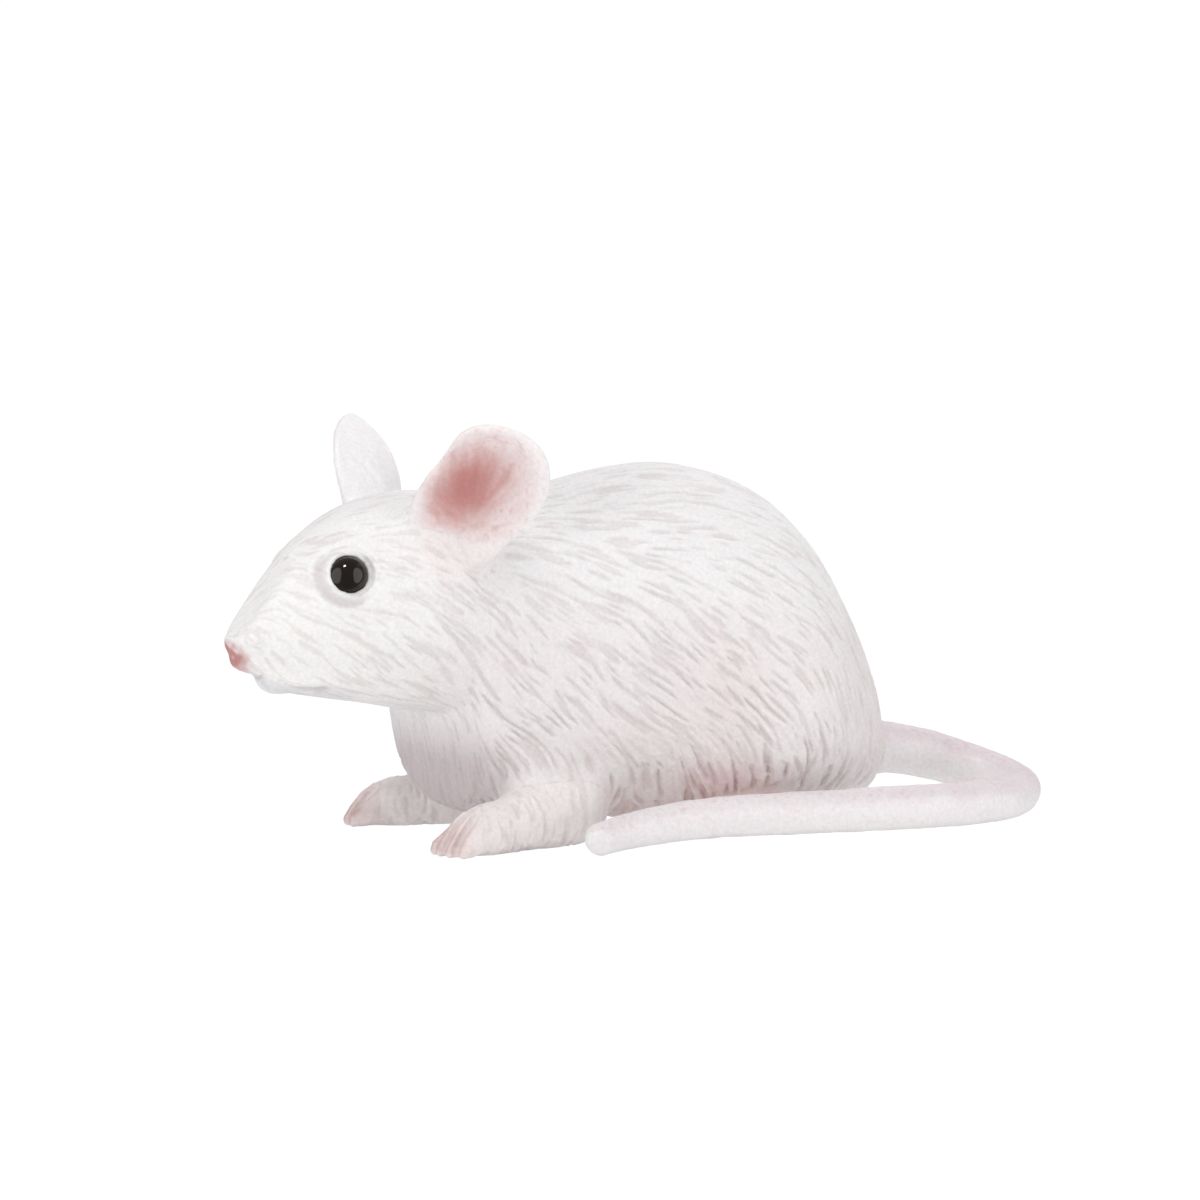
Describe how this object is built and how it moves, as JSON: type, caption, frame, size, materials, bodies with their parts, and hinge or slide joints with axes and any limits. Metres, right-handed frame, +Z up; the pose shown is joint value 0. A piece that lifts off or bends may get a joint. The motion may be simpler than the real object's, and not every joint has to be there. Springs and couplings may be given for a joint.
{
  "type": "mouse figurine",
  "caption": "Life-size moulded figurine of a crouching mouse, with its tail curled forward along its left flank.",
  "frame": {"origin": "centre of the bounding box, on the floor plane", "axes": "+X along the mouse from nose to tail, +Y to the mouse's right, +Z up"},
  "size_m": [0.093, 0.0448, 0.0456],
  "materials": {
    "white_vinyl": "warm white matte paint over carved fur",
    "core_plastic": "unpainted",
    "ear_vinyl": "matte paint with pink airbrush in the cup",
    "eye_gloss": "high gloss",
    "foot_vinyl": "matte paint with pink airbrush",
    "tail_vinyl": "matte paint with faint pink speckle"
  },
  "bodies": {
    "root": {"body": "white_vinyl", "core": "core_plastic", "left_ear": "ear_vinyl", "right_ear": "ear_vinyl", "left_eye": "eye_gloss", "right_eye": "eye_gloss", "left_foreleg": "white_vinyl", "right_foreleg": "white_vinyl", "left_hind_foot": "foot_vinyl", "right_hind_foot": "foot_vinyl", "tail": "tail_vinyl"}
  },
  "joints": []
}
